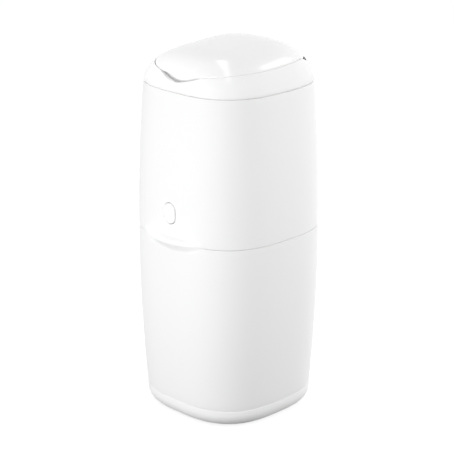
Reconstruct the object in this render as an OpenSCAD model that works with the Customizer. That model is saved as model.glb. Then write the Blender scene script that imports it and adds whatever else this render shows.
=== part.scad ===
// Nappy bin: a lower bucket, an upper body that tilts back at the middle, and a hinged lid.
// The front faces -Y, the floor is z = 0 and the lid is at the top.

/* [Body shells] */
// Half width of the body where it is widest
belly_half = 125.2; // [118:0.2:135]
// Height of the widest place above the floor
belly_height = 280.4; // [260:0.2:300]
// Radius of the long bow of the sides
bow_radius = 3302; // [2900:1:4500]
// Squareness of the plan outline, where 2 is an ellipse
plan_power = 2.834; // [2.6:0.001:3.1]
// Wall of the large shells
shell_wall = 2.6; // [2.2:0.1:3]
// Height of the seam above the base moulding
base_seam = 30; // [26:0.5:36]
// Height of the seam where the upper body tilts away
mid_seam = 295; // [285:0.5:305]
// Height of the seam under the top collar
collar_seam = 522; // [512:0.5:540]

/* [Base] */
// How far the base moulding curves in to its flat underside
base_turn_in = 30.2; // [26:0.2:36]
// Height of the rubber feet below the base moulding
foot_stand = 1.5; // [1:0.1:3]
// Radius of a rubber foot
foot_r = 10; // [7:0.5:12]
// Distance of the feet in from the edge of the underside, along X and along Y
foot_in = 35; // [33:0.5:42]
// Distance of the base screws in from the edge of the underside
base_screw_in = 19; // [17:0.5:24]
// Height of the bucket floor above the floor
bucket_floor = 43; // [40:0.5:50]

/* [Grip lip] */
// Reach of the grip lip beyond the widest place of the body
lip_out = 13.1; // [12:0.1:16]
// Radius of the lip's edge in plan
lip_round = 109; // [100:1:115]
// Height of the lip above the middle seam
lip_rise = 8; // [6:0.5:10]
// Half width of the finger scoop under the lip
scoop_half = 62; // [50:1:70]
// Depth of the finger scoop down from the seam
scoop_drop = 16.5; // [12:0.5:20]
// Depth of the finger scoop into the wall
scoop_deep = 5; // [3:0.5:6]

/* [Collar and lid] */
// Rise of the dome above the collar seam
dome_crown = 54; // [52:0.5:58]
// Rise of the dome towards the back, for each millimetre
dome_lean = 0.07; // [0.05:0.005:0.09]
// Distance of the lid's sides in from the widest place of the body
lid_side_in = 28.6; // [27:0.2:31]
// Distance of the lid's front and back in from the widest place of the body
lid_end_in = 17.9; // [17:0.1:20]
// Squareness of the lid's outline
lid_power = 2.66; // [2.5:0.01:2.8]
// Distance of the lid's middle behind the middle of the body
lid_back = 1.8; // [1.4:0.1:2.2]
// Gap between the lid and the collar
lid_gap = 0.8; // [0.7:0.1:1]
// Wall of the lid and the collar
lid_wall = 2.4; // [2:0.1:2.8]
// Height of the lid's lower edge above the collar seam
skirt_above = 19.5; // [18:0.5:21]
// Depth of the deck below the collar seam
deck_below = 9; // [8:0.5:12]
// Reach of the finger notch in front of the lid
notch_deep = 6.5; // [5:0.1:6.9]
// Radius of the finger notch in plan
notch_round = 95; // [85:1:105]
// Distance of the lid's pivot in from the back of the lid
lid_pivot_in = 35.1; // [33:0.1:36]
// Height of the lid's pivot above the collar seam
lid_pivot_above = 29; // [28:0.5:31]

/* [Cassette and jaws] */
// Distance of the film cassette's edge in from the widest place of the body
cassette_in = 48.2; // [47:0.2:54]
// Width of the film cassette between its edge and the throat
cassette_band = 23; // [20:0.5:28]
// Height of the cassette
cassette_h = 44; // [36:0.5:50]
// Distance of the throat's middle in front of the body's middle
throat_forward = 18; // [17:0.5:20]
// Distance of the jaw housing's sides outside the throat
housing_side = 11; // [9:0.5:14]
// Height of the jaw housing
housing_h = 36; // [32:0.5:44]
// Thickness of a jaw
jaw_t = 3; // [2.4:0.1:4]
// Radius of the jaw pins
jaw_pin_r = 2; // [1.6:0.1:2.4]

/* [Button and latch] */
// Width of the release button
button_w = 23.5; // [21:0.5:28]
// Height of the release button
button_h = 32; // [30:0.5:37]
// Height of the button above the middle seam
button_above = 42; // [38:0.5:48]
// Travel of the button
button_travel = 2.5; // [2:0.1:3]
// Gap round the button
button_gap = 0.6; // [0.5:0.1:1]
// Height of the latch pivot above the button's middle
latch_arm = 29; // [27:0.5:32]

/* [Body hinge] */
// Radius of the hinge barrel
barrel_r = 5; // [4.2:0.1:5.4]
// Radius of the hinge pin
hinge_pin_r = 2.2; // [1.8:0.1:2.6]
// Half width of the hinge
hinge_half = 30; // [24:1:36]
// Thickness of the hinge leaves
leaf_t = 3; // [2.4:0.1:3.6]

/* [Fits] */
// Radial clearance of a pin in a turning bore
running_fit = 0.05; // [0.03:0.01:0.08]
// Gap between pieces that move past each other
move_gap = 0.3; // [0.3:0.05:0.5]
// Gap of a piece that drops into a recess
seat_gap = 0.2; // [0.15:0.05:0.4]
// Radius of a fixing screw's thread
screw_r = 1.5; // [1.3:0.1:1.7]

/* [Hidden] */
$fn = 48;
ring_points = 64;
sink = 1;                       // how far a boss runs into the wall that carries it

// Screws
head_r = screw_r * 1.9;
head_t = 1.8;
pilot_r = screw_r + running_fit;
boss_r = screw_r + 2.1;

// Sizes that follow the body
base_foot_half = belly_half - base_turn_in;
foot_at = base_foot_half - foot_in;
base_screw_at = base_foot_half - base_screw_in;
lip_reach = belly_half + lip_out;
lid_half_x = belly_half - lid_side_in;
lid_half_y = belly_half - lid_end_in;
notch_reach = lid_half_y - lid_back + notch_deep;
lid_pivot_y = lid_half_y + lid_back - lid_pivot_in;
cassette_r = belly_half - cassette_in;
throat_r = cassette_r - cassette_band;
housing_half = throat_r + housing_side;

// Side profile and shell seats
seam_half = belly_half - pow(mid_seam - belly_height, 2) / (2 * bow_radius);
collar_half = belly_half - pow(collar_seam - belly_height, 2) / (2 * bow_radius);
base_half = belly_half - pow(base_seam - belly_height, 2) / (2 * bow_radius);
floor_t = 3;
base_wall = 3;
base_band = 7;                  // upright band of the base moulding under its seam
foot_seat = 1;                  // depth of the recess that holds a foot
base_screw_seat = base_seam - 9;
wall_steps = [0, 0.24, 0.48, 0.72, 0.88];       // levels of the lower wall, as shares of its height
scoop_steps = [1, 0.73, 0.48, 0.24];            // levels of the scoop, as shares of its depth
upper_steps = [0.26, 0.53, 0.79];               // levels of the upper wall
ledge_in = 3.4;                 // width of the ledge that carries the deck
ledge_t = 2;
ledge_slope = 4;

// Rim frame and its seal
frame_half = seam_half - shell_wall - scoop_deep - 1.4;
frame_wall = 2.4;
frame_low = mid_seam - 23;
frame_high = mid_seam + 4;
flange_t = 2.5;
seal_t = 3;
seal_gap = 0.1;

// Deck and dome
deck_z = collar_seam - deck_below;
deck_t = 3;
dome_saddle = 0.00076;          // extra rise of the dome to the front and back, per mm squared
dome_shoulder = 3.108;          // how late the dome starts to fall towards its edge
dome_fall = 1.709;              // how steeply it meets the edge
skirt_z = collar_seam + skirt_above;
skirt_drop = 6;                 // extra depth of the skirt behind the finger notch
skirt_drop_run = 20;            // length over which that depth comes in
skirt_turn = 34;                // how far back the skirt's edge starts to rise
skirt_back_h = 5;               // height of the skirt at the back
edge_t = 1.4;                   // thickness of the lid's front edge where it stands over the notch
tuck_deep = 5.5;                // how far back the skirt stands under that edge
tuck_half = 1.28 * sqrt(2 * notch_round * notch_deep); // half width of the stretch that stands back
tuck_run = 0.27 * tuck_half;      // length over which it comes in at each end
pivot_z = collar_seam + lid_pivot_above;
pivot_relief = 5.6;             // extra gap beside the lid, just behind its pivot
relief_behind = 5;
relief_front = 10;
relief_back = 24;

// Throat, cassette and cradle, all round one upright axis
throat_y = -throat_forward;
tub_wall = 2;
cup_wall = 2.5;
cup_r = cassette_r + seat_gap + cup_wall;
cover_t = 2;
cassette_top = deck_z - cover_t;
cup_floor = cassette_top - cassette_h - seat_gap - cup_wall;
cradle_hole = throat_r + 1.5;
liner_ring_r = cassette_r - 5;
liner_ring_wall = 2.6;
lid_seal_t = 3;
liner_t = 2.5;
lid_lug_r = 5.5;
lid_pin_r = 2.5;
lid_rear_cut = 8;               // the liner ends this far in front of the pivot
collar_boss_h = 17;
collar_boss_y = 30;
collar_screw_in = 10;
lid_boss_h = 8;
lid_boss_y = 26;
lid_screw_in = 5;
post_x = lid_half_x - 33.6;
post_t = 6;
post_foot = 36;                 // how far in front of the pivot a post starts
post_foot_l = 12;
lug_t = 6;
lug_foot = 30;                  // how far in front of the pivot a lug starts
lug_foot_l = 20;

// Jaw housing
housing_top = cup_floor;
housing_plate = 4;
housing_wall = 3;
housing_low = housing_top - housing_h;
housing_plate_out = 8;          // the plate reaches this far beyond the sides
jaw_z = housing_top - 20;
jaw_pin_y = housing_half - housing_wall - 8;
jaw_lip = 3;                    // width of the rubber strip on a jaw
jaw_half = housing_half - housing_wall - 5;
spring_wire = 0.6;
spring_span = 12;               // length of barrel that a jaw gives up to its spring
barrel_wall = 2.2;
cutter_w = 40;
cutter_deep = 10;
cutter_h = 20;
cutter_slot_h = 9;
cutter_screw_x = 15;
blade_w = 23.6;
blade_t = 0.6;
blade_h = 9.6;

// Button and latch
button_z = mid_seam + button_above;
front_face = belly_half - pow(button_z - belly_height, 2) / (2 * bow_radius);
button_proud = 0.6;
button_t = 3.6;
spring_solid = 3.1;             // length of the button's spring when it is pressed flat
plate_y = -front_face - button_proud + button_t + button_travel + spring_solid;
plate_t = 2.5;
stem_r = 4;
stem_nose_r = 2.2;
stem_tip = plate_y + plate_t + 6;
latch_z = button_z + latch_arm;
latch_t = 4;
latch_w = 12;
latch_pin_r = 1.5;
latch_barrel_r = latch_t / 2 + 2;
latch_y = stem_tip + move_gap + latch_barrel_r;
lug_up = 6;                     // height of a latch lug above and below the pin
plate_side = 12;                // the button's plate reaches this far beside the button
plate_screw_side = 8;
plate_screw_up = 4;
keeper_z = mid_seam - 14;
keeper_t = 0.8;
keeper_half = 9;
keeper_reach = 4.8;             // how far the keeper's lip stands out from the frame
nose_t = 7;
hook_low = keeper_z - keeper_t - move_gap - nose_t;

// Body hinge: the barrel lies outside the back wall and reaches as far back as the lip does forward
barrel_y = lip_reach - barrel_r;
leaf_y = belly_half + 0.1;
leaf_h = 34;
leaf_start = 7;                 // first millimetres beside the barrel that the leaf leaves free
knuckle_half = hinge_half / 3;
hinge_screw_x = hinge_half * 2 / 3;
hinge_screw_in = 8;
hinge_screw_up = [leaf_start + 8, leaf_h - 3];  // heights of the hinge screws from the seam
web_in = 1.2;                   // the web starts this far behind the leaf's face
pin_end = 1.5;

// ---------- outlines and lofts ----------

function bent(v, p) = sign(v) * pow(abs(v), p);

// One point of a rounded square outline
function square_point(hx, hy, p, i) =
    let (t = 360 * i / ring_points)
    [hx * bent(cos(t), 2 / p), hy * bent(sin(t), 2 / p)];

function side_half(z) = belly_half - pow(z - belly_height, 2) / (2 * bow_radius);

function ring(half, z) =
    [for (i = [0 : ring_points - 1]) let (p = square_point(half, half, plan_power, i)) [p[0], p[1], z]];

function body_ring(z, inset = 0) = ring(side_half(z) - inset, z);

// The grip lip pushes the front of a ring forward, by a share of its full reach
function lip_push(p, share) =
    abs(p[0]) < lip_round && p[1] < 0
    ? share * max(0, lip_reach - lip_round + sqrt(lip_round * lip_round - p[0] * p[0]) + p[1])
    : 0;

function lip_ring(z, share) =
    [for (p = body_ring(z)) [p[0], p[1] - lip_push(p, share), z]];

// The finger scoop pulls the front of a ring inward
function scoop_share(x, z) = max(0, 1 - pow(x / scoop_half, 2) - pow((mid_seam - z) / scoop_drop, 2));

function scoop_pull(p) =
    let (s = p[1] < 0 ? scoop_share(p[0], p[2]) : 0)
    scoop_deep * s * (2 - s);

function scooped(points) = [for (p = points) [p[0], p[1] + scoop_pull(p), p[2]]];

// Height of the dome that the collar and the lid share
function plan_radius(x, y) = pow(pow(abs(x), plan_power) + pow(abs(y), plan_power), 1 / plan_power);

function dome_share(x, y, half) =
    pow(max(0, 1 - pow(min(1, plan_radius(x, y) / half), dome_shoulder)), 1 / dome_fall);

function dome_z(x, y, wall = 0) =
    collar_seam + dome_share(x, y, collar_half - wall)
    * (dome_crown - wall + dome_lean * y + dome_saddle * y * y);

function lid_point(i, grow) =
    let (p = square_point(lid_half_x + grow, lid_half_y + grow, lid_power, i))
    [p[0], p[1] + lid_back];

// Behind the finger notch the skirt and the collar's opening stand back under the lid's edge
function tuck(p) =
    let (s = max(0, min(1, (tuck_half - abs(p[0])) / tuck_run)))
    [p[0], p[1] + (p[1] < 0 ? tuck_deep * s * s * (3 - 2 * s) : 0)];

// Half width of the lid at one place along its length
function lid_x(y, grow = 0) =
    (lid_half_x + grow) * pow(1 - pow(abs(y - lid_back) / (lid_half_y + grow), lid_power), 1 / lid_power);

// The collar's opening is the lid's outline and a gap, which is wider just behind the pivot
function relief(y) =
    let (off = y - lid_pivot_y - relief_behind)
    pivot_relief * max(0, 1 - (off < 0 ? -off / relief_front : off / relief_back));

function opening_point(i, wall) =
    let (p = lid_point(i, lid_gap + wall))
    tuck([p[0] + sign(p[0]) * relief(p[1]), p[1]]);

// The finger notch is a level ledge cut into the front of the dome
function notch_y(x) = -(notch_reach - notch_round + sqrt(notch_round * notch_round - x * x));

function notch_z(x, y) =
    y < 0 && abs(x) < notch_round && y > notch_y(x) ? dome_z(x, notch_y(x)) : dome_z(0, 0);

function mix(a, b, s) = a + (b - a) * s;

// Rings of the collar between its lower edge and its opening, on the outer or the inner skin
function collar_ring(s, inset) =
    [for (i = [0 : ring_points - 1])
        let (a = square_point(collar_half - inset, collar_half - inset, plan_power, i),
            b = opening_point(i, inset),
            x = mix(a[0], b[0], s),
            y = mix(a[1], b[1], s))
        [x, y, min(dome_z(x, y, inset), notch_z(x, y) - inset)]];

function opening_ring(z, inset) =
    [for (i = [0 : ring_points - 1]) let (p = opening_point(i, inset)) [p[0], p[1], z]];

// Rings of the lid: a share of its outline, on the outer or the inner skin
function lid_ring(s, inset) =
    [for (i = [0 : ring_points - 1])
        let (p = inset > 0 ? tuck(lid_point(i, -inset)) : lid_point(i, 0),
            x = p[0] * s,
            y = mix(lid_back, p[1], s))
        [x, y, dome_z(x, y, inset)]];

// The top of the skirt, under the lid's edge
function skirt_top_ring() =
    [for (i = [0 : ring_points - 1])
        let (p = lid_point(i, 0), q = tuck(p))
        [q[0], q[1], dome_z(p[0], p[1]) - edge_t]];

// The skirt's lower edge drops behind the finger notch and follows the seam at the back
function skirt_low(x, y) =
    let (front = min(1, max(0, (-lid_half_y / 2 - y) / skirt_drop_run)),
        back = min(1, max(0, (y - skirt_turn) / (lid_pivot_y - skirt_turn))))
    mix(skirt_z - skirt_drop * front, max(skirt_z, dome_z(x, y) - skirt_back_h), back);

function skirt_ring(inset) =
    [for (i = [0 : ring_points - 1])
        let (p = tuck(lid_point(i, -inset)), q = lid_point(i, 0))
        [p[0], p[1], skirt_low(q[0], q[1])]];

// A closed skin over rings of points; it ends in two flat caps, or joins up where looped
module skin(rings, looped = false) {
    n = len(rings[0]);
    steps = len(rings) - (looped ? 1 : 2);
    points = [for (r = rings) each r];
    sides = [for (r = [0 : steps], i = [0 : n - 1])
        let (q = (r + 1) % len(rings), j = (i + 1) % n)
        [r * n + i, q * n + i, q * n + j, r * n + j]];
    caps = looped ? [] : [
        [for (i = [0 : n - 1]) i],
        [for (i = [n - 1 : -1 : 0]) (len(rings) - 1) * n + i]];
    polyhedron(points, concat(sides, caps), convexity = 6);
}

module lid_plate(z, t, inset) {
    translate([0, 0, z])
        linear_extrude(t)
            polygon([for (i = [0 : ring_points - 1]) tuck(lid_point(i, -inset))]);
}

// ---------- small shapes ----------

module rod_x(r, from, to) {
    translate([from, 0, 0])
        rotate([0, 90, 0])
            cylinder(r = r, h = to - from);
}

module rod_y(r, from, to) {
    translate([0, from, 0])
        rotate([-90, 0, 0])
            cylinder(r = r, h = to - from);
}

module tube(r_out, r_in, h) {
    rotate_extrude($fn = 96)
        translate([r_in, 0])
            square([r_out - r_in, h]);
}

// A pan-head screw along Z with its head below z = 0
module screw(length) {
    translate([0, 0, -head_t])
        cylinder(r = head_r, h = head_t);
    cylinder(r = screw_r, h = length);
}

// A coil of round wire round the Z axis, standing on z = 0
module coil(r, wire, turns, h) {
    sides = 6;
    per_turn = 14;
    steps = turns * per_turn;
    rings = [for (k = [0 : steps])
        let (a = 360 * k / per_turn, z = wire + (h - 2 * wire) * k / steps)
        [for (i = [0 : sides - 1])
            let (b = 360 * i / sides, rr = r + wire * cos(b))
            [rr * cos(a), rr * sin(a), z + wire * sin(b)]]];
    n = sides;
    points = [for (q = rings) each q];
    faces = concat(
        [for (k = [0 : steps - 1], i = [0 : n - 1])
            let (j = (i + 1) % n)
            [k * n + i, k * n + j, (k + 1) * n + j, (k + 1) * n + i]],
        [[for (i = [n - 1 : -1 : 0]) i]],
        [[for (i = [0 : n - 1]) steps * n + i]]);
    polyhedron(points, faces, convexity = 6);
}

// An upright oval, drawn in the XZ plane and given depth along Y
module oval(w, h, from, to) {
    for (s = [-1, 1])
        translate([0, 0, s * (h - w) / 2])
            rod_y(w / 2, from, to);
    translate([-w / 2, from, -(h - w) / 2])
        cube([w, to - from, h - w]);
}

module at_four(x, y) {
    for (sx = [-1, 1], sy = [-1, 1])
        translate([sx * x, sy * y, 0])
            children();
}

module at_cross(d) {
    for (a = [0 : 90 : 270])
        rotate([0, 0, a])
            translate([d, 0, 0])
                children();
}

// ---------- lower body ----------

module lower_shell() {
    levels = concat(
        [for (s = wall_steps) mix(base_seam, mid_seam - scoop_drop, s)],
        [for (s = scoop_steps) mid_seam - s * scoop_drop],
        [mid_seam - move_gap / 2]);
    inner = [for (k = [len(levels) - 1 : -1 : 1]) scooped(body_ring(levels[k], shell_wall))];
    color("white")
        difference() {
            union() {
                skin(concat(
                    [body_ring(bucket_floor - floor_t, shell_wall)],
                    [body_ring(base_seam, shell_wall)],
                    [for (z = levels) scooped(body_ring(z))],
                    inner,
                    [body_ring(bucket_floor, shell_wall)]));
                at_cross(base_screw_at)
                    translate([0, 0, base_seam])
                        cylinder(r = boss_r, h = bucket_floor - floor_t - base_seam + sink);
                for (s = [-1, 1], z = hinge_screw_up)
                    translate([s * hinge_screw_x, 0, mid_seam - z])
                        rod_y(boss_r, leaf_y - hinge_screw_in, belly_half - shell_wall / 2);
            }
            at_cross(base_screw_at)
                translate([0, 0, base_seam - sink])
                    cylinder(r = pilot_r, h = bucket_floor - floor_t - base_seam + sink);
            for (s = [-1, 1], z = hinge_screw_up)
                translate([s * hinge_screw_x, 0, mid_seam - z])
                    rod_y(pilot_r, leaf_y - hinge_screw_in - sink, belly_half + sink);
        }
}

// The base moulding curves in to a flat underside, as a quarter ellipse
module base_pan() {
    turn = base_seam - foot_stand - base_band;
    function base_at(a) = base_foot_half + (base_half - base_foot_half) * sin(a);
    function base_up(a) = foot_stand + turn * (1 - cos(a));
    steps = [0, 18, 36, 54, 72, 90];
    color("white")
        difference() {
            union() {
                skin(concat(
                    [for (a = steps) ring(base_at(a), base_up(a))],
                    [ring(base_half, base_seam)],
                    [ring(base_half - base_wall, base_seam)],
                    [for (k = [len(steps) - 1 : -1 : 0])
                        ring(base_at(steps[k]) - base_wall, base_up(steps[k]) + base_wall)]));
                at_cross(base_screw_at)
                    translate([0, 0, foot_stand + base_wall / 2])
                        cylinder(r = head_r + 2, h = base_seam - foot_stand - base_wall / 2);
            }
            at_four(foot_at, foot_at)
                translate([0, 0, foot_stand - sink])
                    cylinder(r = foot_r + seat_gap, h = foot_seat + sink);
            at_cross(base_screw_at) {
                cylinder(r = head_r + seat_gap, h = base_screw_seat);
                cylinder(r = pilot_r, h = base_seam + sink);
            }
        }
}

module rubber_feet() {
    color("dimgray")
        at_four(foot_at, foot_at)
            cylinder(r = foot_r, h = foot_stand + foot_seat);
}

module base_screws() {
    color("silver")
        at_cross(base_screw_at)
            translate([0, 0, base_screw_seat])
                screw(bucket_floor - floor_t - base_screw_seat - 2);
}

// The rim frame lines the bucket's mouth; its flange lies on the wall and its edge stands in the upper body
module rim_frame() {
    color("whitesmoke")
        skin([
            ring(frame_half - frame_wall, frame_low),
            ring(frame_half, frame_low),
            ring(frame_half, mid_seam - flange_t),
            rim_flange(mid_seam - flange_t),
            rim_flange(mid_seam),
            ring(frame_half, mid_seam),
            ring(frame_half, frame_high),
            ring(frame_half - frame_wall, frame_high)], looped = true);
}

function rim_flange(z) = scooped(body_ring(z, shell_wall + seat_gap));

module rim_seal() {
    color("gray")
        skin([
            ring(frame_half + seat_gap, mid_seam + seal_gap),
            body_ring(mid_seam + seal_gap, shell_wall + move_gap),
            body_ring(mid_seam + seal_t, shell_wall + move_gap),
            ring(frame_half + seat_gap, mid_seam + seal_t)], looped = true);
}

// A spring-steel keeper on the frame; its bent lip holds the latch hook down
module latch_keeper() {
    back = -(frame_half - frame_wall) + move_gap;
    lip_end = -(frame_half - frame_wall) + keeper_reach;
    color("silver")
        union() {
            translate([-keeper_half, back, frame_low + 1])
                cube([2 * keeper_half, keeper_t, frame_high - frame_low - 3]);
            translate([-keeper_half, back, keeper_z - keeper_t])
                cube([2 * keeper_half, lip_end - back, keeper_t]);
        }
}

module hinge_leaf(side) {
    difference() {
        union() {
            translate([-hinge_half, leaf_y, side > 0 ? leaf_start : -leaf_h - 4])
                cube([2 * hinge_half, leaf_t, leaf_h + 4 - leaf_start]);
            children();
        }
        for (s = [-1, 1], z = hinge_screw_up)
            translate([s * hinge_screw_x, 0, side * z])
                rod_y(pilot_r, leaf_y - sink, leaf_y + leaf_t + sink);
        translate([0, barrel_y, 0])
            rod_x(hinge_pin_r + running_fit, -hinge_half - sink, hinge_half + sink);
    }
}

// A knuckle of the hinge and the web that joins it to its leaf
module knuckle(side, from, to) {
    translate([0, barrel_y, 0])
        rod_x(barrel_r, from, to);
    web_t = barrel_y - leaf_y;
    translate([from, leaf_y + web_in, side > 0 ? 0.01 : -leaf_start - 4])
        cube([to - from, leaf_t + 1.5, leaf_start + 4]);
    translate([from, leaf_y + leaf_t - 0.5, side > 0 ? 0.01 : -barrel_r])
        cube([to - from, web_t - leaf_t, barrel_r - 0.02]);
}

module hinge_lower_leaf() {
    color("white")
        translate([0, 0, mid_seam])
            hinge_leaf(-1) {
                knuckle(-1, -hinge_half, -knuckle_half - move_gap);
                knuckle(-1, knuckle_half + move_gap, hinge_half);
            }
}

module hinge_upper_leaf() {
    color("white")
        translate([0, 0, mid_seam])
            hinge_leaf(1)
                knuckle(1, -knuckle_half, knuckle_half);
}

module hinge_screws(side) {
    color("silver")
        for (s = [-1, 1], z = hinge_screw_up)
            translate([s * hinge_screw_x, leaf_y + leaf_t, mid_seam + side * z])
                rotate([90, 0, 0])
                    screw(hinge_screw_in);
}

module hinge_lower_screws() {
    hinge_screws(-1);
}

module hinge_upper_screws() {
    hinge_screws(1);
}

module hinge_pin() {
    color("silver")
        translate([0, barrel_y, mid_seam]) {
            rod_x(hinge_pin_r, -hinge_half - pin_end, hinge_half + 0.1);
            rod_x(hinge_pin_r + 1, -hinge_half - pin_end, -hinge_half - 0.1);
        }
}

// ---------- upper body ----------

module upper_shell() {
    lip_levels = [[0.15, 0.96], [1, 1], [2, 0.93], [3.5, 0.62], [5.5, 0.22], [8, 0]];
    levels = [for (s = upper_steps) mix(mid_seam + lip_rise, collar_seam, s)];
    ledge_z = deck_z - deck_t;
    color("white")
        difference() {
            union() {
                skin(concat(
                    [for (k = lip_levels) lip_ring(mid_seam + k[0] * lip_rise / 8, k[1])],
                    [for (z = levels) body_ring(z)],
                    [body_ring(collar_seam)],
                    [body_ring(collar_seam, shell_wall)],
                    [body_ring(ledge_z, shell_wall)],
                    [body_ring(ledge_z, shell_wall + ledge_in)],
                    [body_ring(ledge_z - ledge_t, shell_wall + ledge_in)],
                    [body_ring(ledge_z - ledge_t - ledge_slope, shell_wall)],
                    [body_ring(levels[1], shell_wall)],
                    [body_ring(levels[0], shell_wall)],
                    [body_ring(mid_seam + move_gap / 2, shell_wall)]), looped = true);
                for (s = [-1, 1], z = hinge_screw_up)
                    translate([s * hinge_screw_x, 0, mid_seam + z])
                        rod_y(boss_r, leaf_y - hinge_screw_in, belly_half - shell_wall / 2);
                at_plate_screws()
                    rod_y(boss_r, -front_face + shell_wall / 2, plate_y);
            }
            for (s = [-1, 1], z = hinge_screw_up)
                translate([s * hinge_screw_x, 0, mid_seam + z])
                    rod_y(pilot_r, leaf_y - hinge_screw_in - sink, belly_half + sink);
            at_plate_screws()
                rod_y(pilot_r, plate_y - 5, plate_y + sink);
            translate([0, 0, button_z])
                oval(button_w + 2 * button_gap, button_h + 2 * button_gap,
                    -front_face - 2, -front_face + shell_wall + 1);
        }
}

module at_plate_screws() {
    for (s = [-1, 1], t = [-1, 1])
        translate([s * (button_w / 2 + plate_screw_side), 0, button_z + t * (button_h / 2 + plate_screw_up)])
            children();
}

module collar() {
    spread = [0, 0.02, 0.08, 0.2, 0.4, 0.65, 1];
    n = len(spread);
    tongue = shell_wall + seat_gap;
    color("white")
        difference() {
            union() {
                skin(concat(
                    [ring(collar_half, collar_seam)],
                    [for (k = [1 : n - 1]) collar_ring(spread[k], 0)],
                    [opening_ring(deck_z, 0)],
                    [opening_ring(deck_z, lid_wall)],
                    [for (k = [n - 1 : -1 : 3]) collar_ring(spread[k], lid_wall)],
                    [ring(collar_half - tongue - 2, collar_seam)],
                    [ring(collar_half - tongue - 2, deck_z)],
                    [ring(collar_half - tongue, deck_z)],
                    [ring(collar_half - tongue, collar_seam)]), looped = true);
                at_collar_screws()
                    cylinder(r = boss_r, h = collar_boss_h);
            }
            at_collar_screws()
                translate([0, 0, -sink])
                    cylinder(r = pilot_r, h = collar_boss_h - 4);
        }
}

// The collar's screw bosses grow on the outer side of the wall round its opening
module at_collar_screws() {
    y = collar_boss_y;
    for (sx = [-1, 1], sy = [-1, 1])
        translate([sx * (lid_x(sy * y, lid_gap + lid_wall) + boss_r - lid_wall / 2), sy * y, deck_z])
            children();
}

module collar_screws() {
    color("silver")
        at_collar_screws()
            translate([0, 0, -deck_t])
                screw(deck_t + collar_screw_in);
}

// The deck, with a cup for the cassette and two posts for the lid's pivot
module cassette_cradle() {
    edge = side_half(deck_z) - shell_wall - seat_gap;
    color("whitesmoke")
        difference() {
            union() {
                translate([0, 0, deck_z - deck_t])
                    linear_extrude(deck_t)
                        polygon([for (i = [0 : ring_points - 1]) square_point(edge, edge, plan_power, i)]);
                translate([0, throat_y, cup_floor])
                    cylinder(r = cup_r, h = deck_z - deck_t - cup_floor + sink, $fn = 96);
                for (s = [-1, 1])
                    lid_post(s);
            }
            translate([0, throat_y, cup_floor + cup_wall])
                cylinder(r = cassette_r + seat_gap, h = cassette_h + deck_t, $fn = 96);
            translate([0, throat_y, cassette_top])
                cylinder(r = cassette_r + 2 + seat_gap, h = cover_t + sink, $fn = 96);
            translate([0, throat_y, cup_floor - sink])
                cylinder(r = cradle_hole, h = cassette_h + deck_t, $fn = 96);
            at_collar_screws()
                translate([0, 0, -deck_t - sink])
                    cylinder(r = pilot_r, h = deck_t + 2 * sink);
            at_housing_screws()
                translate([0, 0, cup_floor - sink])
                    cylinder(r = pilot_r, h = cup_wall + 2 * sink);
        }
}

// A post that rises from the deck in front of the pivot and reaches back to it
module lid_post(side) {
    up = pivot_z - deck_z;
    difference() {
        translate([side > 0 ? post_x : -post_x - post_t, lid_pivot_y, deck_z])
            rotate([90, 0, 90])
                linear_extrude(post_t)
                    union() {
                        polygon([
                            [-post_foot, -sink],
                            [post_foot_l - post_foot, -sink],
                            [3, up - 3.5],
                            [-4, up + 3]]);
                        translate([0, up])
                            circle(r = lid_lug_r - 0.5);
                    }
        translate([0, lid_pivot_y, pivot_z])
            rod_x(lid_pin_r + running_fit, -post_x - post_t - sink, post_x + post_t + sink);
    }
}

module lid_pivot_pins() {
    inner = post_x - move_gap - lug_t;
    color("silver")
        for (s = [-1, 1])
            translate([0, lid_pivot_y, pivot_z])
                mirror([s < 0 ? 1 : 0, 0, 0])
                    rod_x(lid_pin_r, inner - 1, post_x + post_t + 1);
}

module cassette_tub() {
    color("gainsboro")
        translate([0, throat_y, cassette_top - cassette_h])
            rotate_extrude($fn = 96)
                union() {
                    translate([throat_r, 0])
                        square([cassette_r - throat_r, tub_wall]);
                    translate([throat_r, 0])
                        square([tub_wall, cassette_h]);
                    translate([cassette_r - tub_wall, 0])
                        square([tub_wall, cassette_h]);
                }
}

// The film is packed in pleats round the throat
module film_pack() {
    pleats = 9;
    inner = throat_r + tub_wall + 1;
    outer = cassette_r - tub_wall - 0.5;
    step = (cassette_h - tub_wall - 6) / pleats;
    nip = 1.6;
    color("lightsteelblue")
        translate([0, throat_y, cassette_top - cassette_h + tub_wall])
            rotate_extrude($fn = 96)
                polygon(concat(
                    [for (k = [0 : pleats - 1]) each [[inner, k * step], [inner + nip, (k + 0.5) * step]]],
                    [[inner, pleats * step], [outer, pleats * step]],
                    [for (k = [pleats - 1 : -1 : 0]) each [[outer - nip, (k + 0.5) * step], [outer, k * step]]]));
}

module cassette_cover() {
    color("gainsboro")
        translate([0, throat_y, cassette_top])
            tube(cassette_r + 2, throat_r + 5, cover_t);
}

module jaw_housing() {
    side = 2 * housing_half;
    plate = housing_half + housing_plate_out;
    color("whitesmoke")
        difference() {
            union() {
                translate([-plate, throat_y - plate, housing_top - housing_plate])
                    cube([2 * plate, 2 * plate, housing_plate]);
                translate([-housing_half, throat_y - housing_half, housing_low])
                    cube([side, side, housing_h]);
            }
            translate([-housing_half + housing_wall, throat_y - housing_half + housing_wall, housing_low - sink])
                cube([side - 2 * housing_wall, side - 2 * housing_wall, housing_h - housing_plate + sink]);
            translate([0, throat_y, housing_low])
                cylinder(r = cradle_hole, h = housing_h + sink, $fn = 96);
            at_housing_screws()
                translate([0, 0, housing_top - housing_plate - sink])
                    cylinder(r = pilot_r, h = housing_plate + 2 * sink);
            for (s = [-1, 1])
                translate([0, throat_y + s * jaw_pin_y, jaw_z])
                    rod_x(jaw_pin_r + running_fit, -housing_half - sink, housing_half + sink);
            at_cutter_screws()
                rod_y(pilot_r, -sink, housing_wall + sink);
        }
}

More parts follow.
